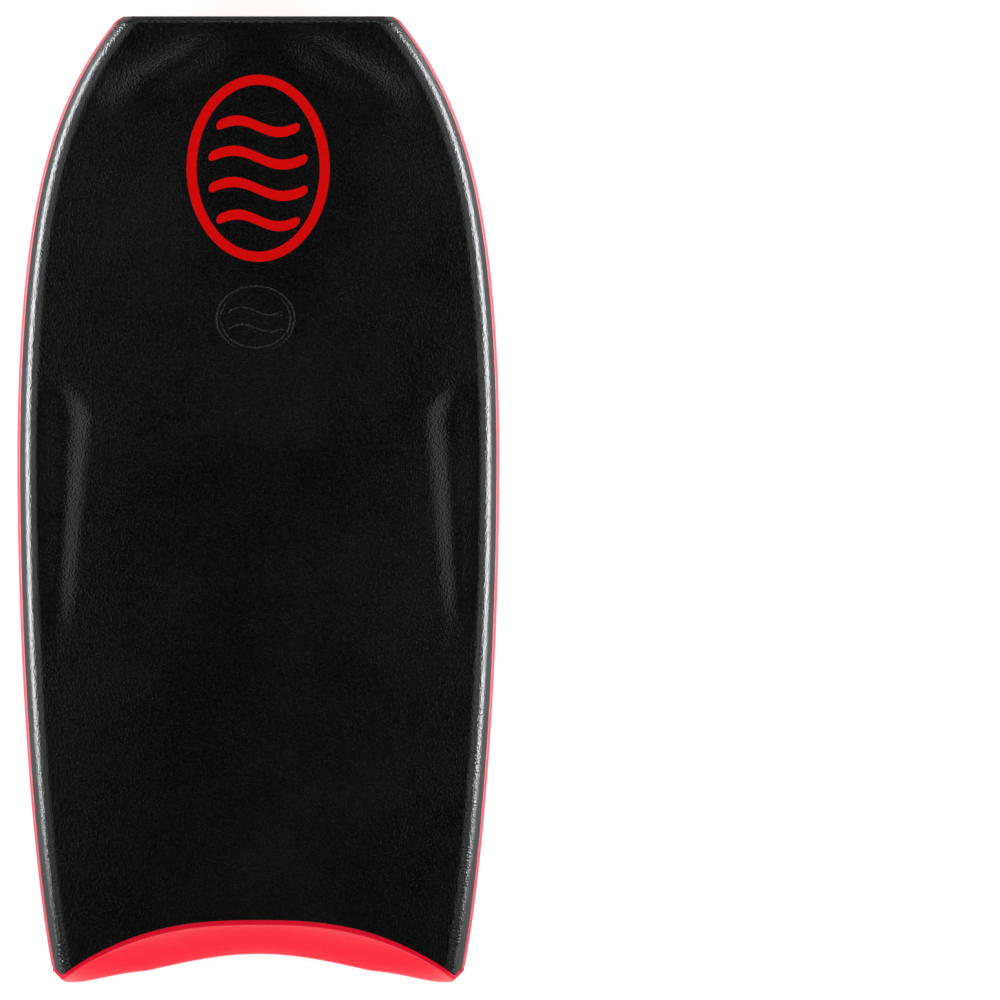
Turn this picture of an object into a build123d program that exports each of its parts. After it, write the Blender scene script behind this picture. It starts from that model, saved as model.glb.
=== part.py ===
"""A crescent-tail bodyboard: a foam core with a stringer, a deck skin, a slick bottom, layered rails,
a nose strip and a layered tail. Millimetres. The board lies on its slick: +Z up, nose towards +Y.
The origin is at the middle of the board's footprint, on the plane that it rests on."""
import os
from math import cos, hypot, pi, sqrt

from build123d import *

os.makedirs("parts", exist_ok=True)

# Overall size
length = 1067.0
half_length = length / 2
widest_half = 266.8
widest_y = 50.0
front_run = half_length - widest_y
rear_run = half_length + widest_y

# Outline: the half width falls away from the widest point by two terms each way
front_taper, front_pull_in = 52.8, 59.9
rear_taper, rear_pull_in = 35.5, 6.0

# Side profile
rocker_start = 130.0
rocker_radius = 2020.0
middle_thickness = 57.0
tail_thinning = 7.0
nose_thinning = 13.0

# Rail section: heights are shares of the thickness, insets are measured in from the widest edge
apex_share = 0.62
outer_rail_share = 0.60
red_band_share = 0.75
chine_share = 0.89
lower_edge_inset, lower_edge_height = 11.0, 4.0
lower_skirt_inset, lower_skirt_depth = 20.0, 4.0
chine_inset = 9.5
round_inset, round_drop = 14.0, 2.6
deck_edge_inset, deck_edge_rise = 24.0, 2.6

# Layers
deck_skin_thickness = 5.5
slick_thickness = 1.5
mesh_thickness = 0.8
skin_lip_inset = 12.0
outer_rail_inset = 17.0
inner_rail_inset = 22.5
nose_strip_thickness = 5.5
tail_skin_thickness = 3.0
tail_strip_thickness = 4.5

# Prints, set flush into the skins: middle, then width and height
print_depth = 0.15
sign_line, sign_band_reach, sign_band_swell = 0.07, 0.82, 0.14
deck_sign_place, deck_sign_size = (0.0, 366.0), (158.0, 206.0)
slick_sign_place, slick_sign_size = (0.0, 367.0), (156.0, 200.0)
side_sign_place, side_sign_size = (194.0, 36.0), (72.0, 72.0)
tail_bar_widths = (46.0, 46.0, 32.0, 46.0, 32.0)
tail_bar_height, tail_bar_pitch, tail_bars_y = 10.0, 26.0, -378.0

# Tail: a crescent, deep at the deck and shallow at the bottom
crescent_half = 222.0
deck_crescent_depth = 69.0
deck_crescent_power = 2.55
bottom_crescent_depth = 31.5
tail_height = 50.0
tail_corner_length, tail_corner_width = 12.0, 13.0

# Bottom channels, each between a ridge line and the edge of the slick
channel_nose_depth, channel_tail_depth = 1.0, 3.6
ridge_nose_inset, ridge_tail_inset = 62.0, 92.0
ridge_middle_inset = 104.0
channel_margin = 5.0

# Deck contours: elbow wells beside the middle, hand bulbs at the nose corners
well_y, well_length, well_inset = -25.0, 300.0, 52.0
well_depth, well_section_radius = 4.5, 60.0
bulb_y, bulb_inset, bulb_radius, bulb_height, bulb_sink = 435.0, 88.0, 52.0, 4.5, 3.0

# Stringer
stringer_radius, stringer_bore_radius = 6.0, 4.5
stringer_rear, stringer_front, stringer_height = -400.0, 300.0, 30.0
plug_flange, plug_depth = 2.5, 18.0

# Tool sizes
reach = 300.0
overrun = 12.0
block_low, block_high = -20.0, 200.0
tail_block_low, tail_block_high, tail_block_steps = -5.0, 60.0, 8
channel_overlap, channel_skirt = 1.0, 8.0
stations = [-half_length - overrun + step * (length + 2 * overrun) / 14 for step in range(15)]


def half_width(y):
    """Half the board's width at its widest height."""
    if y > widest_y:
        run = (y - widest_y) / front_run
        return widest_half - front_taper * run**2 - front_pull_in * run**5
    run = (widest_y - y) / rear_run
    return widest_half - rear_taper * run**2 - rear_pull_in * run**8


def side_spread(y):
    """How much wider a section across the board cuts a layer than a section square to the rail."""
    return hypot(1, half_width(y + 0.5) - half_width(y - 0.5))


def inset_width(y, inset):
    return half_width(y) - inset * side_spread(y)


def bottom_height(y):
    """The bottom is flat, then curves up to the nose."""
    if y < rocker_start:
        return 0.0
    return rocker_radius - sqrt(rocker_radius**2 - (y - rocker_start) ** 2)


def thickness(y):
    thinning = nose_thinning if y > 0 else tail_thinning
    return middle_thickness - thinning * (y / half_length) ** 2


def height_at(y, share):
    return bottom_height(y) + share * thickness(y)


def rail_section(y):
    """The right half of a section across the board, from the bottom up."""
    low, high = bottom_height(y), bottom_height(y) + thickness(y)
    return [
        (inset_width(y, lower_skirt_inset), low - lower_skirt_depth),
        (inset_width(y, lower_edge_inset), low + lower_edge_height),
        (half_width(y), height_at(y, apex_share)),
        (inset_width(y, chine_inset), height_at(y, chine_share)),
        (inset_width(y, round_inset), high - round_drop),
        (inset_width(y, deck_edge_inset), high + deck_edge_rise),
    ]


def block_above(share, lift=0.0, top=block_high):
    """Everything above a surface that runs straight across the board at a share of its thickness."""
    with BuildPart() as block:
        with BuildSketch(Plane.YZ):
            with BuildLine():
                curve = Spline(*[(y, height_at(y, share) + lift) for y in stations])
                Polyline(curve @ 1, (stations[-1], top), (stations[0], top), curve @ 0)
            make_face()
        extrude(amount=reach, both=True)
    return block.part


def block_above_bottom(lift=0.0, top=block_high):
    """Everything above the bottom's own flat and arc, raised by lift."""
    arc_middle = (rocker_start + stations[-1]) / 2
    with BuildPart() as block:
        with BuildSketch(Plane.YZ):
            with BuildLine():
                Line((stations[0], lift), (rocker_start, lift))
                ThreePointArc(
                    (rocker_start, lift),
                    (arc_middle, bottom_height(arc_middle) + lift),
                    (stations[-1], bottom_height(stations[-1]) + lift),
                )
                Polyline(
                    (stations[-1], bottom_height(stations[-1]) + lift),
                    (stations[-1], top),
                    (stations[0], top),
                    (stations[0], lift),
                )
            make_face()
        extrude(amount=reach, both=True)
    return block.part


def block_inside(inset, bottom=block_low, top=block_high):
    """Everything inside an upright wall that follows the outline."""
    with BuildPart() as block:
        with BuildSketch(Plane.XY.offset(bottom)):
            with BuildLine():
                right = Spline(*[(inset_width(y, inset), y) for y in stations])
                left = Spline(*[(-inset_width(y, inset), y) for y in stations])
                Line(right @ 1, left @ 1)
                Line(right @ 0, left @ 0)
            make_face()
        extrude(amount=top - bottom)
    return block.part


def tail_edge(x, z):
    """Where the tail face stands, straight between its bottom curve and its deck curve."""
    bottom_curve = bottom_crescent_depth * cos(pi * x / (2 * crescent_half)) ** 2
    deck_curve = deck_crescent_depth * (1 - abs(x / crescent_half) ** deck_crescent_power)
    return -half_length + bottom_curve + (deck_curve - bottom_curve) * z / tail_height


def block_behind_tail(forward=0.0, back=-620.0):
    """Everything behind the tail face, moved forward by a layer's thickness."""
    count = tail_block_steps
    steps = [crescent_half * step / count for step in range(-count, count + 1)]
    with BuildPart() as block:
        for z in (tail_block_low, tail_block_high):
            with BuildSketch(Plane.XY.offset(z)):
                with BuildLine():
                    curve = Spline(*[(x, tail_edge(x, z) + forward) for x in steps])
                    start, end = curve @ 0, curve @ 1
                    Line((-reach, start.Y), start)
                    Line(end, (reach, end.Y))
                    Polyline((reach, end.Y), (reach, back), (-reach, back), (-reach, start.Y))
                make_face()
        loft(ruled=True)
    return block.part


def ridge_inset(y):
    """How far in from the slick's edge the ridge line runs."""
    share = (y + half_length) / length
    nose_side = ridge_middle_inset + (ridge_nose_inset - ridge_middle_inset) * (2 * share - 1) ** 2
    tail_side = ridge_middle_inset + (ridge_tail_inset - ridge_middle_inset) * (2 * share - 1) ** 2
    return nose_side if share > 0.5 else tail_side


def channel(side, lift=0.0):
    """One long shallow channel under the board, deeper towards the tail."""
    with BuildPart() as groove:
        for y in stations:
            share = (y + half_length) / length
            depth = channel_tail_depth + (channel_nose_depth - channel_tail_depth) * share
            outer = inset_width(y, inner_rail_inset + channel_margin)
            inner = inset_width(y, inner_rail_inset) - ridge_inset(y)
            low = bottom_height(y) + lift
            with BuildSketch(Plane.XZ.offset(-y)):
                with BuildLine():
                    crown = ThreePointArc(
                        (side * inner, low - channel_overlap),
                        (side * (inner + outer) / 2, low + depth),
                        (side * outer, low - channel_overlap),
                    )
                    Polyline(
                        crown @ 1,
                        (side * outer, low - channel_skirt),
                        (side * inner, low - channel_skirt),
                        crown @ 0,
                    )
                make_face()
        loft()
    return groove.part


def elbow_well(side, drop=0.0):
    """A long shallow hollow beside the middle of the deck, cut by a spindle that lies along the board."""
    deck = height_at(well_y, 1.0)
    axis_height = deck - well_depth + well_section_radius - drop
    end_radius = well_section_radius - 2 * well_depth
    half = well_length / 2 * sqrt(2)
    with BuildPart() as spindle:
        with BuildSketch(Plane.XY):
            with BuildLine():
                belly = ThreePointArc((end_radius, -half), (well_section_radius, 0), (end_radius, half))
                Polyline(belly @ 1, (0, half), (0, -half), belly @ 0)
            make_face()
        revolve(axis=Axis.Y)
    place = Pos(side * (half_width(well_y) - well_inset), well_y, axis_height)
    return place * spindle.part


def hand_bulb(side):
    """A low rounded swelling of the deck at a nose corner, where the hands hold on."""
    cap_radius = (bulb_radius**2 + bulb_height**2) / (2 * bulb_height)
    slope = height_at(bulb_y + 0.5, 1.0) - height_at(bulb_y - 0.5, 1.0)
    depth = cap_radius - bulb_height
    middle = (
        side * (half_width(bulb_y) - bulb_inset),
        bulb_y + depth * slope / hypot(1, slope),
        height_at(bulb_y, 1.0) - depth / hypot(1, slope),
    )
    with BuildPart() as bulb:
        with Locations(middle):
            Sphere(cap_radius, rotation=(90, 0, 0))
        add(block_above(share=1.0, lift=-bulb_sink), mode=Mode.INTERSECT)
    return bulb.part


def wave_sign(width, height, bands):
    """A plain sign: an upright oval ring that holds a few wave bands."""
    ring = sign_line * width
    pitch = (height - 3 * ring) / (bands + 1)
    with BuildSketch() as sign:
        Ellipse(width / 2, height / 2)
        Ellipse(width / 2 - ring, height / 2 - ring, mode=Mode.SUBTRACT)
        for band in range(bands):
            level = (band - (bands - 1) / 2) * pitch
            half = sign_band_reach * (width / 2 - ring) * sqrt(1 - (level / (height / 2 - ring)) ** 2)
            swell = sign_band_swell * half
            with BuildLine():
                crest = Spline(
                    (-half, level),
                    (-half / 2, level + swell),
                    (0, level),
                    (half / 2, level - swell),
                    (half, level),
                )
                trough = Spline(
                    (-half, level - ring),
                    (-half / 2, level + swell - ring),
                    (0, level - ring),
                    (half / 2, level - swell - ring),
                    (half, level - ring),
                )
                Line(crest @ 0, trough @ 0)
                Line(crest @ 1, trough @ 1)
            make_face()
    return sign.sketch


def print_film(skin, sketch, inwards):
    """A film of ink that takes up the outer face of a skin inside a sketch."""
    with BuildPart() as film:
        add(Plane.XY.offset(block_low) * sketch)
        extrude(amount=reach)
        add(skin, mode=Mode.INTERSECT)
        add(Pos(0, 0, inwards) * skin, mode=Mode.SUBTRACT)
    return film.part


def save(part, name):
    part.label = name
    export_step(part, f"parts/{name}.step")


# The walls and surfaces between the layers
above_deck = block_above(share=1.0)
behind_tail = block_behind_tail()
tail_skin_zone = block_behind_tail(tail_skin_thickness)
tail_strip_zone = block_behind_tail(tail_skin_thickness + tail_strip_thickness)

with BuildPart() as skin_lip_zone:
    add(block_above(share=red_band_share))
    add(block_inside(skin_lip_inset), mode=Mode.SUBTRACT)

with BuildPart() as above_slick:
    add(block_above_bottom(lift=slick_thickness))
    for side in (-1, 1):
        add(channel(side, slick_thickness), mode=Mode.SUBTRACT)

with BuildPart() as above_mesh:
    add(block_above_bottom(lift=slick_thickness + mesh_thickness))
    for side in (-1, 1):
        add(channel(side, slick_thickness + mesh_thickness), mode=Mode.SUBTRACT)

with BuildPart() as nose_zone:
    with Locations((0, half_length - nose_strip_thickness + reach, 0)):
        Box(2 * reach, 2 * reach, 2 * reach)

# The whole board as one solid, from which the layers are cut
with BuildPart() as blank:
    for y in stations:
        right_side = rail_section(y)
        left_side = [(-x, z) for x, z in reversed(right_side)]
        with BuildSketch(Plane.XZ.offset(-y)):
            with BuildLine():
                Polyline(*right_side, *left_side, close=True)
            make_face()
    loft()
    add(block_above_bottom(), mode=Mode.INTERSECT)
    add(above_deck, mode=Mode.SUBTRACT)
    for side in (-1, 1):
        add(hand_bulb(side))
        add(elbow_well(side), mode=Mode.SUBTRACT)
        add(channel(side), mode=Mode.SUBTRACT)
    with Locations((0, half_length + reach, 0)):
        Box(2 * reach, 2 * reach, 2 * reach, mode=Mode.SUBTRACT)
    add(behind_tail, mode=Mode.SUBTRACT)
    with BuildSketch(Plane.XY.offset(-reach)):
        corner_x = half_width(-half_length)
        for side in (-1, 1):
            with BuildLine():
                Polyline(
                    (side * (corner_x + overrun), -half_length + 2 * tail_corner_length),
                    (side * (corner_x + overrun), -half_length - overrun),
                    (side * (corner_x - tail_corner_width - overrun), -half_length - overrun),
                    close=True,
                )
            make_face()
    extrude(amount=2 * reach, mode=Mode.SUBTRACT)

# Tail skin: the coloured sheet over the whole tail face
with BuildPart() as tail_skin:
    add(blank.part)
    add(tail_skin_zone, mode=Mode.INTERSECT)
save(tail_skin.part, "tail_skin")

# Everything under the deck skin and in front of the tail skin
with BuildPart() as under_skin:
    add(blank.part)
    add(tail_skin_zone, mode=Mode.SUBTRACT)
    add(block_above(share=1.0, lift=-deck_skin_thickness), mode=Mode.SUBTRACT)
    for side in (-1, 1):
        add(elbow_well(side, deck_skin_thickness), mode=Mode.SUBTRACT)
    add(skin_lip_zone.part, mode=Mode.SUBTRACT)

# Deck skin: a foam sheet that also wraps down over the upper chine
with BuildPart() as deck_skin:
    add(blank.part)
    add(tail_skin_zone, mode=Mode.SUBTRACT)
    add(under_skin.part, mode=Mode.SUBTRACT)

# Rails: an inner layer that shows as a band and a strip, and an outer layer over its lower part
inside_inner_rail = block_inside(inner_rail_inset)
with BuildPart() as outer_rails:
    add(under_skin.part)
    add(block_inside(outer_rail_inset), mode=Mode.SUBTRACT)
    add(block_above(share=outer_rail_share), mode=Mode.SUBTRACT)

with BuildPart() as inner_rails:
    add(under_skin.part)
    add(inside_inner_rail, mode=Mode.SUBTRACT)
    add(outer_rails.part, mode=Mode.SUBTRACT)

for layer, rails in (("outer", outer_rails), ("inner", inner_rails)):
    left, right = rails.solids().sort_by(Axis.X)
    save(Part(left.wrapped), f"left_{layer}_rail")
    save(Part(right.wrapped), f"right_{layer}_rail")

# Between the rails: nose strip, tail strip, slick, mesh and core
with BuildPart() as middle:
    add(under_skin.part)
    add(inside_inner_rail, mode=Mode.INTERSECT)

with BuildPart() as nose_strip:
    add(middle.part)
    add(nose_zone.part, mode=Mode.INTERSECT)
save(nose_strip.part, "nose_strip")

with BuildPart() as tail_strip:
    add(middle.part)
    add(tail_strip_zone, mode=Mode.INTERSECT)
save(tail_strip.part, "tail_strip")

with BuildPart() as slab:
    add(middle.part)
    add(nose_zone.part, mode=Mode.SUBTRACT)
    add(tail_strip_zone, mode=Mode.SUBTRACT)

with BuildPart() as slick:
    add(slab.part)
    add(above_slick.part, mode=Mode.SUBTRACT)

with BuildPart() as bottom_mesh:
    add(slab.part)
    add(above_slick.part, mode=Mode.INTERSECT)
    add(above_mesh.part, mode=Mode.SUBTRACT)
save(bottom_mesh.part, "bottom_mesh")

stringer_length = stringer_front - stringer_rear
with BuildPart() as foam_core:
    add(slab.part)
    add(above_mesh.part, mode=Mode.INTERSECT)
    with BuildSketch(Plane.XZ.offset(-(stringer_front + plug_flange))):
        with Locations((0, stringer_height)):
            Circle(stringer_radius)
    extrude(amount=stringer_length + 2 * plug_flange, mode=Mode.SUBTRACT)
save(foam_core.part, "foam_core")

with BuildPart() as stringer_tube:
    with BuildSketch(Plane.XZ.offset(-stringer_front)):
        with Locations((0, stringer_height)):
            Circle(stringer_radius)
            Circle(stringer_bore_radius, mode=Mode.SUBTRACT)
    extrude(amount=stringer_length)
save(stringer_tube.part, "stringer_tube")

for name, end_y, inwards in (("front", stringer_front, 1), ("rear", stringer_rear, -1)):
    with BuildPart() as plug:
        with BuildSketch(Plane.XZ.offset(-end_y)):
            with Locations((0, stringer_height)):
                Circle(stringer_radius)
        extrude(amount=-inwards * plug_flange)
        with BuildSketch(Plane.XZ.offset(-end_y)):
            with Locations((0, stringer_height)):
                Circle(stringer_bore_radius)
        extrude(amount=inwards * plug_depth)
    save(plug.part, f"stringer_{name}_plug")

# Prints
deck_sign = Pos(*deck_sign_place) * wave_sign(*deck_sign_size, 4)
slick_sign = Pos(*slick_sign_place) * wave_sign(*slick_sign_size, 4)
side_sign = Pos(*side_sign_place) * wave_sign(*side_sign_size, 2)
with BuildSketch() as tail_bars:
    for number, bar_width in enumerate(tail_bar_widths):
        with Locations((0, tail_bars_y + (number - 2) * tail_bar_pitch)):
            SlotOverall(bar_width, tail_bar_height)

prints = {
    "deck_emblem": print_film(deck_skin.part, deck_sign, -print_depth),
    "slick_emblem": print_film(slick.part, slick_sign, print_depth),
    "slick_side_mark": print_film(slick.part, side_sign, print_depth),
    "slick_tail_bars": print_film(slick.part, tail_bars.sketch, print_depth),
}
for name, film in prints.items():
    save(film, name)

with BuildPart() as printed_deck_skin:
    add(deck_skin.part)
    add(prints["deck_emblem"], mode=Mode.SUBTRACT)
save(printed_deck_skin.part, "deck_skin")

with BuildPart() as printed_slick:
    add(slick.part)
    for name in ("slick_emblem", "slick_side_mark", "slick_tail_bars"):
        add(prints[name], mode=Mode.SUBTRACT)
save(printed_slick.part, "slick")
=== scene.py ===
import math

import bmesh
import bpy
import numpy as np
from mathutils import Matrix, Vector


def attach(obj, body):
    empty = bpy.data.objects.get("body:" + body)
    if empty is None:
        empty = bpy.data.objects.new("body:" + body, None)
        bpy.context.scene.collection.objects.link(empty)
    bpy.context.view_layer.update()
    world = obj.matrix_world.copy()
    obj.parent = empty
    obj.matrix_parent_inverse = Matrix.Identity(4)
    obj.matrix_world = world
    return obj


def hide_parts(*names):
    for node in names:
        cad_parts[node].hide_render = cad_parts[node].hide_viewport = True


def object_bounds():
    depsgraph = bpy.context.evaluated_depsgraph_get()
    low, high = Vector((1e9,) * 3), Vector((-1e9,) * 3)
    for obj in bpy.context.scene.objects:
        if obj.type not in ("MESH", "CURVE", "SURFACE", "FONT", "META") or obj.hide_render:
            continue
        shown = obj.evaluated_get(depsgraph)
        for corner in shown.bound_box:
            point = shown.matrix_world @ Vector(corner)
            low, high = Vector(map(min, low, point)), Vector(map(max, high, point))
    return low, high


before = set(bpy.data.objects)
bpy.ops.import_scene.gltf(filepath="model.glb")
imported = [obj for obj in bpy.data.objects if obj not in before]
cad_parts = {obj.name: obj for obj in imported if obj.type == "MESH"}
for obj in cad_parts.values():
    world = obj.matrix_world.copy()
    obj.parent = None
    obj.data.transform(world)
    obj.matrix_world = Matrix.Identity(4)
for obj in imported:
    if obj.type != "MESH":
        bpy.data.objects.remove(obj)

CAD_BOX = [list(corner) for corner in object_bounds()]
MM = 0.001
BODY = "root"

# Overall size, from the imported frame
HALF_LENGTH = CAD_BOX[1][1] / MM
WIDEST_HALF = CAD_BOX[1][0] / MM
LENGTH = 2 * HALF_LENGTH

# Outline and side profile
WIDEST_Y = 50.0
FRONT_TAPER, FRONT_PULL_IN = 52.8, 59.9
REAR_TAPER, REAR_PULL_IN = 35.5, 6.0
ROCKER_START, ROCKER_RADIUS = 130.0, 2020.0
MIDDLE_THICKNESS, TAIL_THINNING, NOSE_THINNING = 57.0, 7.0, 13.0

# Rail section: corners are insets from the widest edge, and shares are of the board's thickness. The
# section runs from a margin inside the slick's edge, round the rail, to an inset on the deck.
APEX_SHARE, OUTER_RAIL_SHARE, RED_BAND_SHARE = 0.62, 0.60, 0.72
LOWER_CORNER, LOWER_RADIUS = 14.4, 6.0
APEX_RADIUS = 5.0
DECK_CORNER, DECK_RADIUS = 13.6, 19.0
SECTION_END, SECTION_MARGIN = 34.0, 4.0

# Layers: thicknesses, or insets from the widest edge. The nose edge is bevelled, and the tail face has
# rounded edges and bows out where it slopes.
DECK_SKIN, SLICK, SKIN_LIP = 5.5, 1.5, 12.0
OUTER_RAIL, INNER_RAIL, NOSE_STRIP = 17.0, 22.5, 5.5
TAIL_SKIN, TAIL_SKIN_TOP, TAIL_STRIP = 3.0, 5.5, 4.5
SEAM_DEPTH, SEAM_WIDTH = 0.35, 0.6
NOSE_BEVEL, NOSE_DROP, NOSE_SLOPE = 5.5, 4.6, 0.7
TAIL_ROUND, TAIL_BOW, TAIL_BOW_RUN = 1.4, 5.0, 30.0

# Tail: a crescent, deep at the deck and shallow at the bottom, with its corners cut off
CRESCENT_HALF, DECK_CRESCENT, DECK_CRESCENT_POWER = 222.0, 63.5, 2.55
BOTTOM_CRESCENT, TAIL_HEIGHT = 31.5, MIDDLE_THICKNESS - TAIL_THINNING
CORNER_START, CORNER_SLOPE = 212.7, 0.973

# Bottom channels, each between a ridge line and the slick's edge
CHANNEL_NOSE_DEPTH, CHANNEL_TAIL_DEPTH, CHANNEL_MARGIN, CHANNEL_SINK = 1.0, 3.6, 5.0, 1.0
RIDGE_NOSE, RIDGE_MIDDLE, RIDGE_TAIL = 62.0, 104.0, 84.0
RIDGE_SOFTNESS = 0.2

# Elbow wells: walls and fades are the lengths over which the sides and the ends slope. From the turn to
# each end the inner side moves outwards, by the spread over the run.
WELL_DEPTH, WELL_INNER_WALL, WELL_OUTER_WALL = 3.0, 28.0, 38.0
WELL_REAR, WELL_TURN, WELL_FRONT = -178.0, 85.0, 142.0
WELL_INNER, WELL_REAR_SPREAD, WELL_FRONT_SPREAD = 181.5, 23.0, 30.0
WELL_REAR_RUN, WELL_FRONT_RUN = 246.0, 49.0
WELL_REAR_FADE, WELL_FRONT_FADE = 90.0, 40.0

# Hand bulbs: low ridges that run from outside to inside across the nose corners
BULB_HEIGHT, BULB_WIDTH, BULB_FADE = 4.0, 19.0, 34.0
BULB_OUTER, BULB_INNER = (150.0, 447.0), (52.0, 500.0)
BULB_RAIL_FADE, BULB_NOSE_GAP, BULB_NOSE_FADE = 16.0, 5.0, 22.0

# The contours of the deck keep this inset from the widest edge, and move the lip's top millimetre
CONTOUR_EDGE, LIP_TOP = 19.0, 1.0

# Prints and the embossed sign. A sign has a middle, a width, a height and a number of bands. Its line
# width, band length and band swell are shares.
SIGN_LINE, BAND_REACH, BAND_SWELL = 0.07, 0.82, 0.14
DECK_SIGN = ((0.0, 366.0), 158.0, 206.0, 4)
SLICK_SIGN = ((0.0, 367.0), 156.0, 200.0, 4)
SIDE_SIGN = ((194.0, 36.0), 72.0, 72.0, 2)
EMBOSSED_SIGN = ((-3.0, 200.0), 88.0, 74.0, 2)
BAR_WIDTHS, BAR_HEIGHT, BAR_PITCH, BARS_Y = (46.0, 46.0, 32.0, 46.0, 32.0), 10.0, 26.0, -378.0
STROKE_MIDDLE, STROKE_HALF, STROKE_LINE, STROKE_SWELL = (-14.0, -466.0), 43.0, 2.6, 7.0
INK_RISE, EMBOSS_RISE, FILM_ROOT = 0.12, 0.4, 0.4
INK_CROWN, EMBOSS_CROWN = 0.2, 1.0

# Mesh fineness: points round the rail's corners and across each layer, and rows along it. The hidden
# back of a layer takes one point in so many of its face.
LOWER_POINTS, APEX_POINTS, SHOULDER_POINTS = 14, 12, 22
LIP_POINTS, OUTER_RAIL_POINTS, RED_BAND_POINTS, RED_EDGE_POINTS = 36, 34, 12, 6
SCAN_POINTS, TANGENT_STEP = 1600, 0.2
TOP_COLUMNS, SLICK_COLUMNS, STRIP_COLUMNS = 130, 150, 90
TOP_BACK_STEP, BACK_STEP = 8, 4
LONG_ROWS, SLICK_ROWS, STRIP_ROWS, BEVEL_ROWS = 300, 240, 4, 12
TAIL_COLUMNS, TAIL_LEVELS, TAIL_ROUND_STEPS = 180, 14, 5
TAIL_RAIL_POINTS, TAIL_FLAT_POINTS = 90, 70
OVAL_ROWS, BAND_ROWS, LINE_COLUMNS = 120, 60, 7
SHARP_ANGLE = math.radians(34)

# A wave band and the tail skin stop at this share of their half length, so that neither ends in a point
BAND_TIP, TAIL_TIP = 0.999, 0.9995


# ---------------------------------------------------------------- the board's shape

def smooth(t):
    t = np.clip(t, 0, 1)
    return t * t * (3 - 2 * t)


def half_width(y):
    front = np.clip((y - WIDEST_Y) / (HALF_LENGTH - WIDEST_Y), 0, None)
    rear = np.clip((WIDEST_Y - y) / (HALF_LENGTH + WIDEST_Y), 0, None)
    front_loss = FRONT_TAPER * front**2 + FRONT_PULL_IN * front**5
    return WIDEST_HALF - front_loss - REAR_TAPER * rear**2 - REAR_PULL_IN * rear**8


def side_spread(y):
    """How much wider a section across the board cuts a layer than a section square to the rail. The
    outline's slope is taken over a millimetre."""
    return np.hypot(1, half_width(y + 0.5) - half_width(y - 0.5))


def inset_width(y, inset):
    return half_width(y) - inset * side_spread(y)


def bottom_height(y):
    run = np.clip(y - ROCKER_START, 0, None)
    return ROCKER_RADIUS - np.sqrt(ROCKER_RADIUS**2 - run**2)


def thickness(y):
    thinning = np.where(y > 0, NOSE_THINNING, TAIL_THINNING)
    return MIDDLE_THICKNESS - thinning * (y / HALF_LENGTH) ** 2


def tail_y(x, z):
    """The tail face, straight between its bottom curve and its deck curve."""
    share = np.clip(np.abs(x) / CRESCENT_HALF, 0, 1)
    low = BOTTOM_CRESCENT * np.cos(np.pi * share / 2) ** 2
    high = DECK_CRESCENT * (1 - share**DECK_CRESCENT_POWER)
    corner = (np.abs(x) - CORNER_START) * CORNER_SLOPE
    return -HALF_LENGTH + np.maximum(low + (high - low) * z / TAIL_HEIGHT, corner)


def well(x, y):
    """0 to 1 inside the long hollow beside the middle of the deck, where an elbow rests."""
    ahead = np.clip(y - WELL_TURN, 0, None) / WELL_FRONT_RUN
    behind = np.clip(WELL_TURN - y, 0, None) / WELL_REAR_RUN
    inner = WELL_INNER + WELL_FRONT_SPREAD * ahead**2 + WELL_REAR_SPREAD * behind
    outer = inset_width(y, CONTOUR_EDGE)
    across = smooth((x - inner) / WELL_INNER_WALL) * smooth((outer - x) / WELL_OUTER_WALL)
    return across * smooth((WELL_FRONT - y) / WELL_FRONT_FADE) * smooth((y - WELL_REAR) / WELL_REAR_FADE)


def bulb(x, y):
    """0 to 1 on the low ridge across a nose corner, where a hand holds on."""
    start = np.array(BULB_OUTER)
    run = np.array(BULB_INNER) - start
    reach = np.hypot(*run)
    along = ((x - start[0]) * run[0] + (y - start[1]) * run[1]) / reach
    aside = ((x - start[0]) * run[1] - (y - start[1]) * run[0]) / reach
    start_fade = smooth((along + BULB_FADE) / (2 * BULB_FADE))
    end_fade = smooth((reach + BULB_FADE - along) / (2 * BULB_FADE))
    rail_fade = smooth((inset_width(y, CONTOUR_EDGE) - x) / BULB_RAIL_FADE)
    nose_fade = smooth((HALF_LENGTH - BULB_NOSE_GAP - y) / BULB_NOSE_FADE)
    return np.exp(-((aside / BULB_WIDTH) ** 2)) * start_fade * end_fade * rail_fade * nose_fade


def deck_relief(x, y):
    return BULB_HEIGHT * bulb(np.abs(x), y) - WELL_DEPTH * well(np.abs(x), y)


def slick_relief(x, y):
    """How far a channel lifts the slick: an arc from the ridge line to near the slick's edge. The arc
    ends a sink below the sheet, so it leaves the sheet at an angle, which the softness eases."""
    share = (y + HALF_LENGTH) / LENGTH
    depth = CHANNEL_TAIL_DEPTH + (CHANNEL_NOSE_DEPTH - CHANNEL_TAIL_DEPTH) * share
    far = np.where(share > 0.5, RIDGE_NOSE, RIDGE_TAIL)
    ridge = RIDGE_MIDDLE + (far - RIDGE_MIDDLE) * (2 * share - 1) ** 2
    outer = inset_width(y, INNER_RAIL + CHANNEL_MARGIN)
    inner = inset_width(y, INNER_RAIL) - ridge
    place = (np.abs(x) - (outer + inner) / 2) / ((outer - inner) / 2)
    arc = depth - (depth + CHANNEL_SINK) * place**2
    return (arc + np.sqrt(arc**2 + RIDGE_SOFTNESS**2)) / 2


def deck_surface(x, y):
    return bottom_height(y) + thickness(y) + deck_relief(x, y)


def slick_surface(x, y):
    return bottom_height(y) + slick_relief(x, y)


# ---------------------------------------------------------------- the rail section

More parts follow.
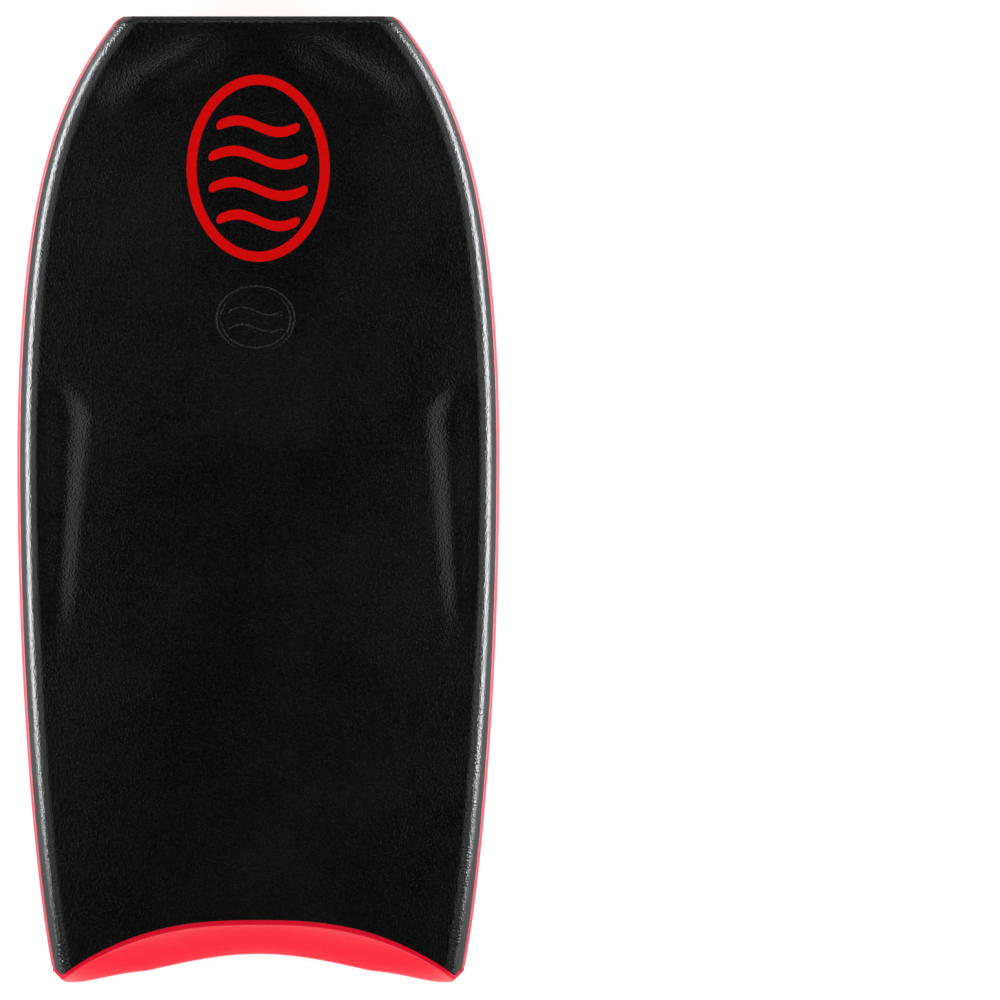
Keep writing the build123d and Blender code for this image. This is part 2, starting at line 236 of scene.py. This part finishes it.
def fillet(corner, before, after, radius, count):
    """The arc that rounds a corner between two neighbours."""
    corner, before, after = (np.array(p, float) for p in (corner, before, after))
    a = (before - corner) / np.linalg.norm(before - corner)
    b = (after - corner) / np.linalg.norm(after - corner)
    half = math.acos(a @ b) / 2
    centre = corner + (a + b) / np.linalg.norm(a + b) * radius / math.sin(half)
    first = corner + a * radius / math.tan(half) - centre
    last = corner + b * radius / math.tan(half) - centre
    turn = math.pi - 2 * half
    shares = np.linspace(0, 1, count)[:, None]
    return centre + (first * np.sin((1 - shares) * turn) + last * np.sin(shares * turn)) / math.sin(turn)


def rail_outline(t):
    """The rail's outer face as (inset, height), from under the slick's edge up to the deck."""
    bottom, lower = (INNER_RAIL + SECTION_MARGIN, 0.0), (LOWER_CORNER, 0.0)
    apex = (0.0, APEX_SHARE * t)
    shoulder, deck = (DECK_CORNER, t), (SECTION_END, t)
    return np.concatenate([
        [bottom],
        fillet(lower, bottom, apex, LOWER_RADIUS, LOWER_POINTS),
        fillet(apex, lower, shoulder, APEX_RADIUS, APEX_POINTS),
        fillet(shoulder, apex, deck, DECK_RADIUS, SHOULDER_POINTS),
        [deck],
    ])


class Station:
    """One section across the board: the rail's face and the lengths along it where the layers change."""

    def __init__(self, y):
        self.y, self.t = float(y), float(thickness(y))
        self.low = float(bottom_height(y))
        self.outline = rail_outline(self.t)
        steps = np.linalg.norm(np.diff(self.outline, axis=0), axis=1)
        self.lengths = np.concatenate([[0], np.cumsum(steps)])
        self.end = float(self.lengths[-1])
        scan = np.linspace(0, self.end, SCAN_POINTS)
        inset, height = self.at(scan).T
        self.slick = float(scan[np.argmax(inset < INNER_RAIL)])
        self.strip = float(scan[np.argmax(inset < OUTER_RAIL)])
        self.band = float(scan[np.argmax(height > OUTER_RAIL_SHARE * self.t)])
        self.lip = float(scan[np.argmax(height > RED_BAND_SHARE * self.t)])

    def at(self, s):
        return np.stack([np.interp(s, self.lengths, self.outline[:, i]) for i in (0, 1)], -1)

    def face(self, side, start, end, count, seams=(True, True)):
        """Points of the rail's face on one side with the way inwards; a seam is a small chamfer."""
        inner = np.linspace(start + SEAM_WIDTH * seams[0], end - SEAM_WIDTH * seams[1], count)
        places = np.concatenate([[start] * seams[0], inner, [end] * seams[1]])
        run = self.at(places + TANGENT_STEP) - self.at(places - TANGENT_STEP)
        inward = np.stack([run[:, 1], -run[:, 0]], -1)
        inward /= np.linalg.norm(inward, axis=1, keepdims=True)
        points = self.at(places)
        if seams[0]:
            points[0] += SEAM_DEPTH * inward[0]
        if seams[1]:
            points[-1] += SEAM_DEPTH * inward[-1]
        inward[:, 0] *= -side
        return self.across(side, points), inward

    def inside(self, side, *points):
        """Points (inset, height) inside the board, which nothing rounds off."""
        points = self.across(side, np.array(points))
        return points, np.zeros_like(points)

    def across(self, side, points):
        x = side * (half_width(self.y) - points[:, 0] * side_spread(self.y))
        return np.stack([x, points[:, 1]], -1)


# Evenly spaced sections from just behind the tail to near the nose, then 1 mm apart up to the nose
PAST_TAIL, NOSE_STRETCH, EVEN_SECTIONS = 8.0, 12.0, 420
STATIONS = np.concatenate([
    np.linspace(-HALF_LENGTH - PAST_TAIL, HALF_LENGTH - NOSE_STRETCH, EVEN_SECTIONS),
    np.linspace(HALF_LENGTH - NOSE_STRETCH + 1, HALF_LENGTH, int(NOSE_STRETCH)),
])
SECTIONS = [Station(y) for y in STATIONS]


# ---------------------------------------------------------------- meshes

def tube(rings, closed=False):
    """A solid from rows of points: each row is a ring. The ends are capped, or joined to each other."""
    rows, columns = rings.shape[:2]
    faces = []
    for j in range(rows if closed else rows - 1):
        here, there = j * columns, (j + 1) % rows * columns
        for k in range(columns):
            n = (k + 1) % columns
            faces.append((here + k, here + n, there + n, there + k))
    if not closed:
        faces.append(tuple(reversed(range(columns))))
        faces.append(tuple((rows - 1) * columns + k for k in range(columns)))
    return rings.reshape(-1, 3), faces


def make_piece(name, solids, node, look):
    """One object from closed solids. It stands for the CAD node and takes the look."""
    mesh = bpy.data.meshes.new(name)
    verts, faces, first = [], [], 0
    for points, rings in solids:
        verts.append(points)
        faces += [tuple(first + i for i in ring) for ring in rings]
        first += len(points)
    mesh.from_pydata((np.concatenate(verts) * MM).tolist(), [], faces)
    work = bmesh.new()
    work.from_mesh(mesh)
    bmesh.ops.triangulate(work, faces=[f for f in work.faces if len(f.verts) > 4])
    bmesh.ops.recalc_face_normals(work, faces=work.faces)
    work.to_mesh(mesh)
    work.free()
    mesh.shade_smooth()
    mesh.set_sharp_from_angle(angle=SHARP_ANGLE)
    mesh.materials.append(look)
    piece = bpy.data.objects.new(name, mesh)
    bpy.context.scene.collection.objects.link(piece)
    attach(piece, BODY)
    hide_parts(node)


def nose_shrink(y):
    """How far the board's surface is drawn in over its bevelled nose edge."""
    over = np.clip(y - (HALF_LENGTH - NOSE_BEVEL), 0, NOSE_BEVEL) / NOSE_BEVEL
    return NOSE_DROP * (NOSE_SLOPE * over + (1 - NOSE_SLOPE) * (1 - np.sqrt(1 - over**4)))


def sweep(parts, rows, back, front):
    """A solid along the board. parts gives a station's ring; back and front turn the tail face's y and
    height into where the solid starts and ends. A solid that reaches the nose has its end bevelled."""
    rings = [[np.concatenate(p) for p in zip(*parts(station))] for station in SECTIONS]
    places = np.array([points for points, _ in rings])
    inwards = np.array([inward for _, inward in rings])
    places[:, :, 1] += np.array([station.low for station in SECTIONS])[:, None]
    columns = range(places.shape[1])
    gaps = STATIONS[:, None] - tail_y(places[:, :, 0], places[:, :, 1])
    tail = np.array([np.interp(0, gaps[:, k], STATIONS) for k in columns])
    heights = np.array([np.interp(tail[k], STATIONS, places[:, k, 1]) for k in columns])
    starts, ends = back(tail, heights), front(tail, heights)
    share = np.linspace(0, 1, rows)[:, None]
    if np.all(ends >= HALF_LENGTH):
        turn = np.linspace(0, math.pi / 2, BEVEL_ROWS)[1:, None]
        run = starts + (ends - NOSE_BEVEL - starts) * share
        run = np.concatenate([run, ends - NOSE_BEVEL + NOSE_BEVEL * np.sin(turn)])
    else:
        run = starts + (ends - starts) * share
    shrink = nose_shrink(run)
    verts = np.empty(run.shape + (3,))
    for k in columns:
        x, z, way_x, way_z = (
            np.interp(run[:, k], STATIONS, values[:, k, i]) for values in (places, inwards) for i in (0, 1)
        )
        verts[:, k] = np.stack([x + way_x * shrink[:, k], run[:, k], z + way_z * shrink[:, k]], -1)
    return tube(verts)


def behind_skin(tail, z):
    """Where the layers meet the tail skin, which gets thicker towards the deck."""
    return tail + TAIL_SKIN + (TAIL_SKIN_TOP - TAIL_SKIN) * smooth(z / TAIL_HEIGHT)


def behind_strip(tail, z):
    return behind_skin(tail, z) + TAIL_STRIP


def at_nose(tail, z):
    return HALF_LENGTH + 0 * tail


def at_slick_end(tail, z):
    return at_nose(tail, z) - NOSE_STRIP


def film(patches, surface, outward, rise, crown):
    """Thin solids laid on a surface, lower at their edges by a crown's share of their rise. A patch is a
    grid of (x, y) places, and whether it closes on itself."""
    solids = []
    for places, closed in patches:
        z = surface(places[..., 0], places[..., 1])
        lift = rise * (1 - crown * np.linspace(-1, 1, places.shape[1]) ** 2)
        face = np.dstack([places, z + outward * lift])
        root = np.dstack([places, z - outward * FILM_ROOT])
        solids.append(tube(np.concatenate([face, root[:, ::-1]], axis=1), closed))
    return solids


def band(middle, half, line, swell):
    """A wave band with round ends: up on the left, down on the right."""
    x = BAND_TIP * half * np.sin(np.linspace(-1, 1, BAND_ROWS) * math.pi / 2)[:, None]
    past = np.clip((np.abs(x) - half + line / 2) / (line / 2), 0, 1)
    across = np.linspace(-1, 1, LINE_COLUMNS)[None, :] * line / 2 * np.sqrt(1 - past**2)
    y = across - swell * np.sin(math.pi * x / half)
    return np.stack([x + 0 * y, y], -1) + np.array(middle), False


def wave_sign(middle, width, height, bands):
    """A plain sign: an upright oval ring that holds a few wave bands."""
    line = SIGN_LINE * width
    turn = np.linspace(0, 2 * math.pi, OVAL_ROWS, endpoint=False)[:, None]
    across = np.linspace(0, line, LINE_COLUMNS)[None, :]
    oval = np.stack([(width / 2 - across) * np.cos(turn), (height / 2 - across) * np.sin(turn)], -1)
    patches = [(oval + np.array(middle), True)]
    pitch = (height - 3 * line) / (bands + 1)
    for number in range(bands):
        level = (number - (bands - 1) / 2) * pitch
        half = BAND_REACH * (width / 2 - line) * math.sqrt(1 - (level / (height / 2 - line)) ** 2)
        centre = (middle[0], middle[1] + level - line / 2)
        patches.append(band(centre, half, line, BAND_SWELL * half))
    return patches


def tail_bars():
    """A stack of plain bars, and one wave stroke behind it."""
    patches = []
    for number, width in enumerate(BAR_WIDTHS):
        y = BARS_Y + (number - len(BAR_WIDTHS) // 2) * BAR_PITCH
        patches.append(band((0, y), width / 2, BAR_HEIGHT, 0))
    patches.append(band(STROKE_MIDDLE, STROKE_HALF, STROKE_LINE, STROKE_SWELL))
    return patches


# ---------------------------------------------------------------- the layers' sections

def deck_skin_ring(station):
    t, y = station.t, station.y
    lips = {}
    for side in (-1, 1):
        points, inward = station.face(side, station.lip, station.end, LIP_POINTS, (True, False))
        on_top = points[:, 1] > t - LIP_TOP
        points[on_top, 1] += deck_relief(points[on_top, 0], y)
        lips[side] = points, inward
    edge = inset_width(y, SECTION_END)
    x = np.linspace(-edge, edge, TOP_COLUMNS)[1:-1]
    top = np.stack([x, t + deck_relief(x, y)], -1)
    back = x[::-TOP_BACK_STEP]
    belly = np.stack([back, 0 * back + t - DECK_SKIN], -1)
    corner, root = (SKIN_LIP, t - DECK_SKIN), (SKIN_LIP, RED_BAND_SHARE * t)
    return [
        lips[-1],
        (top, np.tile([0.0, -1.0], (len(top), 1))),
        tuple(values[::-1] for values in lips[1]),
        station.inside(1, root, corner, (SECTION_END, t - DECK_SKIN)),
        (belly, 0 * belly),
        station.inside(-1, (SECTION_END, t - DECK_SKIN), corner, root),
    ]


def slick_ring(station):
    edge = inset_width(station.y, INNER_RAIL)
    flat = np.linspace(-edge + SEAM_WIDTH, edge - SEAM_WIDTH, SLICK_COLUMNS)
    x = np.concatenate([[-edge], flat, [edge]])
    under = np.stack([x, slick_relief(x, station.y)], -1)
    under[[0, -1], 1] += SEAM_DEPTH
    back = x[::-BACK_STEP]
    over = np.stack([back, slick_relief(back, station.y) + SLICK], -1)
    return [(under, 0 * under), (over, 0 * over)]


def strip_ring(station):
    """The nose strip and the tail strip, from the slick's face up to the deck skin."""
    edge = inset_width(station.y, INNER_RAIL)
    x = np.linspace(-edge, edge, STRIP_COLUMNS)
    under = np.stack([x, slick_relief(x, station.y)], -1)
    back = x[::-BACK_STEP]
    over = np.stack([back, 0 * back + station.t - DECK_SKIN], -1)
    return [(under, np.tile([0.0, 1.0], (len(under), 1))), (over, 0 * over)]


def outer_rail_ring(side):
    def ring(station):
        face = station.face(side, station.strip, station.band, OUTER_RAIL_POINTS)
        return [face, station.inside(side, (OUTER_RAIL, OUTER_RAIL_SHARE * station.t))]
    return ring


def inner_rail_ring(side):
    def ring(station):
        t = station.t
        lip, under_skin = (SKIN_LIP, RED_BAND_SHARE * t), t - DECK_SKIN
        return [
            station.face(side, station.band, station.lip, RED_BAND_POINTS),
            station.inside(side, lip, (SKIN_LIP, under_skin), (INNER_RAIL, under_skin)),
            station.face(side, station.slick, station.strip, RED_EDGE_POINTS),
            station.inside(side, (OUTER_RAIL, OUTER_RAIL_SHARE * t)),
        ]
    return ring


def tail_edge():
    """Where the board's outside meets the tail face, as (x, z) from the middle of the bottom round the
    rail to the middle of the deck."""
    def half_ring(station):
        y = station.y
        face, _ = station.face(1, station.slick, station.end, TAIL_RAIL_POINTS, (False, False))
        low = np.linspace(0, inset_width(y, INNER_RAIL), TAIL_FLAT_POINTS)[:-1]
        high = np.linspace(inset_width(y, SECTION_END), 0, TAIL_FLAT_POINTS)[1:]
        bottom = np.stack([low, slick_relief(low, y)], -1)
        top = np.stack([high, 0 * high + station.t], -1)
        return np.concatenate([bottom, face, top])

    rings = np.array([half_ring(station) for station in SECTIONS])
    edge = []
    for k in range(rings.shape[1]):
        gap = STATIONS - tail_y(rings[:, k, 0], rings[:, k, 1])
        place = np.interp(0, gap, STATIONS)
        edge.append([np.interp(place, STATIONS, rings[:, k, i]) for i in (0, 1)])
    return np.array(edge)


def tail_skin_solid():
    """The coloured sheet over the whole tail face, from the bottom to the deck and from rail to rail."""
    edge = tail_edge()
    apex = int(np.argmax(edge[:, 0]))
    lower, upper = edge[: apex + 1], edge[apex:][::-1]
    x = TAIL_TIP * edge[apex, 0] * np.sin(np.linspace(-1, 1, TAIL_COLUMNS) * math.pi / 2)
    low = np.interp(np.abs(x), lower[:, 0], lower[:, 1])
    high = np.interp(np.abs(x), upper[:, 0], upper[:, 1])
    rounding = np.minimum(TAIL_ROUND, (high - low) / 3)
    turn = np.linspace(0, math.pi / 2, TAIL_ROUND_STEPS)[:, None]
    lip, sink = rounding * (1 - np.cos(turn)), rounding * (1 - np.sin(turn))
    middle = np.linspace(0, 1, TAIL_LEVELS)[1:-1, None]
    between = low + rounding + (high - low - 2 * rounding) * middle
    heights = np.concatenate([low + lip, between, high - lip[::-1]])
    sinks = np.concatenate([sink, 0 * between, sink[::-1]])
    wide = np.broadcast_to(x, heights.shape)
    level = (heights - low) / (high - low)
    run = np.clip((tail_y(x, high) - tail_y(x, low)) / TAIL_BOW_RUN, 0, 1)
    bow = TAIL_BOW * run * 4 * level * (1 - level)
    back = np.stack([wide, tail_y(wide, heights) + sinks - bow, heights], -1)
    ends = np.array([high, low])
    front = np.stack([np.broadcast_to(x, ends.shape), behind_skin(tail_y(x, ends), ends), ends], -1)
    return tube(np.concatenate([back, front]).transpose(1, 0, 2))


# ---------------------------------------------------------------- materials

class Look:
    """A node material built up from small steps."""

    def __init__(self, name):
        self.material = bpy.data.materials.new(name)
        self.material.use_nodes = True
        self.nodes, self.links = self.material.node_tree.nodes, self.material.node_tree.links
        self.shader = self.nodes["Principled BSDF"]
        self.place = self.nodes.new("ShaderNodeTexCoord").outputs["Object"]

    def set(self, **values):
        for name, value in values.items():
            self.shader.inputs[name.replace("_", " ")].default_value = value

    def join(self, output, node, name):
        self.links.new(output, node.inputs[name])

    def noise(self, size, detail=3.0):
        """Noise with features of a size in metres."""
        node = self.nodes.new("ShaderNodeTexNoise")
        node.inputs["Scale"].default_value = 1 / size
        node.inputs["Detail"].default_value = detail
        self.join(self.place, node, "Vector")
        return node.outputs["Fac"]

    def cells(self, size):
        """Rounded cells of a size in metres."""
        node = self.nodes.new("ShaderNodeTexVoronoi")
        node.feature = "SMOOTH_F1"
        node.inputs["Scale"].default_value = 1 / size
        node.inputs["Smoothness"].default_value = 0.6
        self.join(self.place, node, "Vector")
        return node.outputs["Distance"]

    def stripes(self, size, angle):
        """Soft diagonal lines across the board's plan, a size in metres apart."""
        turned = self.nodes.new("ShaderNodeMapping")
        turned.inputs["Rotation"].default_value = (0, 0, math.radians(angle))
        self.join(self.place, turned, "Vector")
        node = self.nodes.new("ShaderNodeTexWave")
        node.bands_direction = "X"
        node.inputs["Scale"].default_value = 2 * math.pi / (20 * size)
        node.inputs["Distortion"].default_value = 0.6
        node.inputs["Detail Scale"].default_value = 8.0
        self.join(turned.outputs["Vector"], node, "Vector")
        return node.outputs["Fac"]

    def combine(self, operation, a, b):
        node = self.nodes.new("ShaderNodeMath")
        node.operation = operation
        for socket, value in zip(node.inputs, (a, b)):
            if isinstance(value, (int, float)):
                socket.default_value = value
            else:
                self.links.new(value, socket)
        return node.outputs["Value"]

    def blend(self, a, b, share):
        """Two values added up, with a share of the second one."""
        first, second = self.combine("MULTIPLY", a, 1 - share), self.combine("MULTIPLY", b, share)
        return self.combine("ADD", first, second)

    def ramp(self, value, low, high):
        """A colour, or a grey, between two stops of (position, value)."""
        node = self.nodes.new("ShaderNodeValToRGB")
        for element, (position, colour) in zip(node.color_ramp.elements, (low, high)):
            element.position = position
            element.color = (*colour, 1) if isinstance(colour, tuple) else (colour, colour, colour, 1)
        self.join(value, node, "Fac")
        return node.outputs["Color"]

    def bump(self, height, depth, after=None):
        """A bump of a depth in metres, on top of an earlier one."""
        node = self.nodes.new("ShaderNodeBump")
        node.inputs["Strength"].default_value = 1.0
        node.inputs["Distance"].default_value = depth
        self.join(height, node, "Height")
        if after:
            self.join(after, node, "Normal")
        return node.outputs["Normal"]

    def finish(self, colour, roughness, normal=None):
        self.join(colour, self.shader, "Base Color")
        self.join(roughness, self.shader, "Roughness")
        if normal:
            self.join(normal, self.shader, "Normal")
        return self.material


def mixed(a, b, share):
    return tuple(p + (q - p) * share for p, q in zip(a, b))


BLACK = (0.0, 0.0, 0.0)

# Foam: pebbles and patches in metres, the fine grain's size and depth as shares of the pebbles', and
# the share of the small grain in the tone
FOAM_PEBBLE, FOAM_PATCH = 0.0020, 0.12
FINE_SIZE, FINE_DEPTH, GRAIN_SHARE = 0.4, 0.35, 0.7

# Slick: the mesh threads' pitch in metres, angle to the board's length, share of the tone, and depth
THREAD_PITCH, THREAD_ANGLE, THREAD_SHARE, THREAD_DEPTH = 0.011, 38, 0.35, 0.00008
SHEET_PATCH, SHEET_GRAIN, SHEET_DEPTH = 0.3, 0.0015, 0.00002

# Ink: grain and its depth in metres
INK_GRAIN, INK_DEPTH = 0.0012, 0.00004


def foam_look(name, dark, light, depth, roughness, level):
    """Moulded polyethylene foam: a pebbled skin with fine grain, a little uneven in colour and gloss."""
    look = Look(name)
    look.set(Specular_IOR_Level=level)
    pebbles, fine = look.cells(FOAM_PEBBLE), look.noise(FOAM_PEBBLE * FINE_SIZE)
    patches = look.noise(FOAM_PATCH, detail=4.0)
    tone = look.blend(patches, look.noise(FOAM_PEBBLE), GRAIN_SHARE)
    colour = look.ramp(tone, (0.38, dark), (0.64, light))
    gloss = look.ramp(patches, (0.3, roughness - 0.015), (0.7, roughness + 0.02))
    normal = look.bump(fine, depth * FINE_DEPTH, look.bump(pebbles, depth))
    return look.finish(colour, gloss, normal)


def slick_look(name, dark, light):
    """A smooth moulded sheet with the reinforcing mesh faint under it."""
    look = Look(name)
    look.set(Specular_IOR_Level=0.5)
    one_way, other_way = (look.stripes(THREAD_PITCH, angle) for angle in (THREAD_ANGLE, -THREAD_ANGLE))
    threads = look.combine("MULTIPLY", one_way, other_way)
    patches, fine = look.noise(SHEET_PATCH, detail=2.0), look.noise(SHEET_GRAIN)
    colour = look.ramp(look.blend(patches, threads, THREAD_SHARE), (0.2, dark), (0.7, light))
    gloss = look.ramp(fine, (0.3, 0.30), (0.7, 0.38))
    normal = look.bump(fine, SHEET_DEPTH, look.bump(threads, THREAD_DEPTH))
    return look.finish(colour, gloss, normal)


def ink_look(name, colour, roughness):
    """Screen-printed ink: even and hardly shiny, with slight speckle from the skin's grain under it."""
    look = Look(name)
    look.set(Specular_IOR_Level=0.03)
    fine = look.noise(INK_GRAIN)
    tone = look.ramp(fine, (0.3, mixed(colour, BLACK, 0.08)), (0.7, colour))
    gloss = look.ramp(fine, (0.3, roughness), (0.7, roughness + 0.1))
    return look.finish(tone, gloss, look.bump(fine, INK_DEPTH))


def hidden_look(name, colour, size, depth, roughness):
    """What the board holds inside: bead foam, mesh, composite or rubber, by the size of its grain."""
    look = Look(name)
    grain = look.cells(size)
    tone = look.ramp(grain, (0.1, colour), (0.8, mixed(colour, BLACK, 0.12)))
    gloss = look.ramp(grain, (0.1, roughness), (0.8, roughness + 0.1))
    return look.finish(tone, gloss, look.bump(grain, depth))


DECK = foam_look(
    "deck_foam", dark=(0.0002, 0.0002, 0.0002), light=(0.0018, 0.0018, 0.0018),
    depth=0.00030, roughness=0.20, level=0.4,
)
BLACK_RAIL = foam_look(
    "black_rail_foam", dark=(0.004, 0.004, 0.004), light=(0.014, 0.013, 0.013),
    depth=0.00020, roughness=0.32, level=0.5,
)
RED_RAIL = foam_look(
    "red_rail_foam", dark=(0.20, 0.006, 0.016), light=(0.26, 0.010, 0.022),
    depth=0.00006, roughness=0.40, level=0.5,
)
RED_TAIL = foam_look(
    "red_tail_foam", dark=(0.27, 0.0010, 0.008), light=(0.31, 0.0020, 0.011),
    depth=0.00008, roughness=0.36, level=0.07,
)
SLICK_SHEET = slick_look("slick_plastic", dark=(0.90, 0.112, 0.054), light=(0.95, 0.140, 0.072))
RED_INK = ink_look("red_ink", (0.31, 0.0001, 0.0001), roughness=0.5)
BLACK_INK = ink_look("black_ink", (0.004, 0.004, 0.004), roughness=0.42)
BEAD_FOAM = hidden_look("core_foam", (0.86, 0.86, 0.83), size=0.004, depth=0.0003, roughness=0.6)
MESH_FABRIC = hidden_look("mesh_fabric", (0.8, 0.8, 0.78), size=0.003, depth=0.0002, roughness=0.7)
COMPOSITE = hidden_look("stringer_composite", (0.03, 0.03, 0.035), size=0.002, depth=0.00005, roughness=0.3)
RUBBER = hidden_look("plug_rubber", (0.02, 0.02, 0.02), size=0.0015, depth=0.0001, roughness=0.6)


# ---------------------------------------------------------------- the pieces

# The hidden pieces keep their CAD shapes
HIDDEN_PIECES = {
    "foam_core": BEAD_FOAM,
    "bottom_mesh": MESH_FABRIC,
    "stringer_tube": COMPOSITE,
    "stringer_front_plug": RUBBER,
    "stringer_rear_plug": RUBBER,
}
for node, look in HIDDEN_PIECES.items():
    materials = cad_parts[node].data.materials
    materials.clear()
    materials.append(look)

emboss = film(wave_sign(*EMBOSSED_SIGN), deck_surface, 1, EMBOSS_RISE, EMBOSS_CROWN)
deck_solid = sweep(deck_skin_ring, LONG_ROWS, behind_skin, at_nose)
make_piece("deck_skin_foam", [deck_solid, *emboss], "deck_skin", DECK)
slick_solid = sweep(slick_ring, SLICK_ROWS, behind_strip, at_slick_end)
make_piece("slick_sheet", [slick_solid], "slick", SLICK_SHEET)

for side, name in ((-1, "left"), (1, "right")):
    outer = sweep(outer_rail_ring(side), LONG_ROWS, behind_skin, at_nose)
    make_piece(f"{name}_outer_rail_foam", [outer], f"{name}_outer_rail", BLACK_RAIL)
    inner = sweep(inner_rail_ring(side), LONG_ROWS, behind_skin, at_nose)
    make_piece(f"{name}_inner_rail_foam", [inner], f"{name}_inner_rail", RED_RAIL)

nose = sweep(strip_ring, STRIP_ROWS, at_slick_end, at_nose)
make_piece("nose_strip_foam", [nose], "nose_strip", BLACK_RAIL)
tail = sweep(strip_ring, STRIP_ROWS, behind_skin, behind_strip)
make_piece("tail_strip_foam", [tail], "tail_strip", BLACK_RAIL)
make_piece("tail_skin_foam", [tail_skin_solid()], "tail_skin", RED_TAIL)

deck_print = film(wave_sign(*DECK_SIGN), deck_surface, 1, INK_RISE, INK_CROWN)
make_piece("deck_emblem_print", deck_print, "deck_emblem", RED_INK)

SLICK_PRINTS = {
    "slick_emblem_print": ("slick_emblem", wave_sign(*SLICK_SIGN)),
    "slick_side_print": ("slick_side_mark", wave_sign(*SIDE_SIGN)),
    "slick_tail_print": ("slick_tail_bars", tail_bars()),
}
for name, (node, patches) in SLICK_PRINTS.items():
    make_piece(name, film(patches, slick_surface, -1, INK_RISE, INK_CROWN), node, BLACK_INK)


# ---------------------------------------------------------------- floor, light and camera

WHITE, COOL_WHITE = (1.0, 1.0, 1.0), (0.95, 0.97, 1.0)
FLOOR_SIZE, FLOOR_LEVEL, FLOOR_GLOW, FLOOR_PATCH = 40.0, -0.0008, 0.47, 0.8
BOARD_LEVEL = 0.05

# The world is bright near the horizon and nearly dark overhead: (share of straight up, brightness)
WORLD_LOW, WORLD_HIGH, WORLD_STRENGTH = (0.15, 1.0), (0.75, 0.005), 0.55

# Softboxes: place, y of the point they face, width (which is level), height, power and colour. Those
# in the first group are in pairs, one each side of the board.
PAIRED_SOFTBOXES = {
    "side_softbox": ((1.6, 0.4, 0.34), 0.4, 1.8, 0.56, 95.0, COOL_WHITE),
    "fill_softbox": ((1.2, 0.3, 1.3), 0.3, 1.8, 0.7, 5.0, WHITE),
    "upper_softbox": ((0.87, 0.1, 1.6), 0.1, 1.6, 0.5, 3.5, WHITE),
}
SINGLE_SOFTBOXES = {
    "nose_softbox": ((0.0, 2.0, 0.9), 0.5, 1.6, 0.7, 3.0, WHITE),
    "brow_softbox": ((0.0, 1.1, 1.6), 0.5, 1.4, 0.4, 4.0, WHITE),
    "tail_softbox": ((0.0, -2.1, 0.6), -0.5, 2.4, 0.7, 110.0, WHITE),
}

# The camera is far above the board, so that it hardly sees its sides
LENS, SENSOR, FRAME_WIDTH, CAMERA_Y = 1000.0, 36.0, 1.1036, 0.0001


def floor_look():
    """Pale and plain from above. From below it is clear, so that the slick can be looked at."""
    look = Look("pale_floor")
    look.set(Specular_IOR_Level=0.0, Emission_Color=(*WHITE, 1.0), Emission_Strength=FLOOR_GLOW)
    patches = look.noise(FLOOR_PATCH)
    look.finish(look.ramp(patches, (0, 0.36), (1, 0.39)), look.ramp(patches, (0, 0.9), (1, 1.0)))
    mix = look.nodes.new("ShaderNodeMixShader")
    clear = look.nodes.new("ShaderNodeBsdfTransparent")
    side = look.nodes.new("ShaderNodeNewGeometry").outputs["Backfacing"]
    look.links.new(side, mix.inputs[0])
    look.links.new(look.shader.outputs[0], mix.inputs[1])
    look.links.new(clear.outputs[0], mix.inputs[2])
    look.join(mix.outputs[0], look.nodes["Material Output"], "Surface")
    return look.material


def add_floor():
    bpy.ops.mesh.primitive_plane_add(size=FLOOR_SIZE, location=(0, 0, FLOOR_LEVEL))
    floor = bpy.context.active_object
    floor.name = "floor"
    floor.data.materials.append(floor_look())


def add_world():
    world = bpy.data.worlds.new("studio")
    bpy.context.scene.world = world
    world.use_nodes = True
    nodes, links = world.node_tree.nodes, world.node_tree.links
    direction = nodes.new("ShaderNodeTexCoord").outputs["Generated"]
    split = nodes.new("ShaderNodeSeparateXYZ")
    height = nodes.new("ShaderNodeMath")
    height.operation = "ABSOLUTE"
    ramp = nodes.new("ShaderNodeValToRGB")
    for element, (position, grey) in zip(ramp.color_ramp.elements, (WORLD_LOW, WORLD_HIGH)):
        element.position = position
        element.color = (grey, grey, grey, 1)
    links.new(direction, split.inputs[0])
    links.new(split.outputs["Z"], height.inputs[0])
    links.new(height.outputs[0], ramp.inputs["Fac"])
    links.new(ramp.outputs["Color"], nodes["Background"].inputs["Color"])
    nodes["Background"].inputs["Strength"].default_value = WORLD_STRENGTH


def add_softbox(name, place, aim, width, height, power, colour):
    """A soft light that faces the board's middle line."""
    light = bpy.data.lights.new(name, "AREA")
    light.shape = "RECTANGLE"
    light.size, light.size_y = width, height
    light.energy = power
    light.color = colour
    lamp = bpy.data.objects.new(name, light)
    bpy.context.scene.collection.objects.link(lamp)
    lamp.location = place
    way = Vector((0, aim, BOARD_LEVEL)) - Vector(place)
    lamp.rotation_euler = way.to_track_quat("-Z", "Y").to_euler()
    lamp.visible_camera = False


def add_camera():
    """Looks straight down, with the board's right edge at the middle of the picture."""
    camera_data = bpy.data.cameras.new("camera")
    camera_data.lens, camera_data.sensor_width = LENS, SENSOR
    camera = bpy.data.objects.new("camera", camera_data)
    bpy.context.scene.collection.objects.link(camera)
    camera.location = (WIDEST_HALF * MM, CAMERA_Y, BOARD_LEVEL + FRAME_WIDTH * LENS / SENSOR)
    bpy.context.scene.camera = camera


add_floor()
add_world()
for side, label in ((-1, "left"), (1, "right")):
    for name, ((x, y, z), *rest) in PAIRED_SOFTBOXES.items():
        add_softbox(f"{label}_{name}", (side * x, y, z), *rest)
for name, values in SINGLE_SOFTBOXES.items():
    add_softbox(name, *values)
add_camera()
bpy.context.scene.view_settings.view_transform = "Standard"
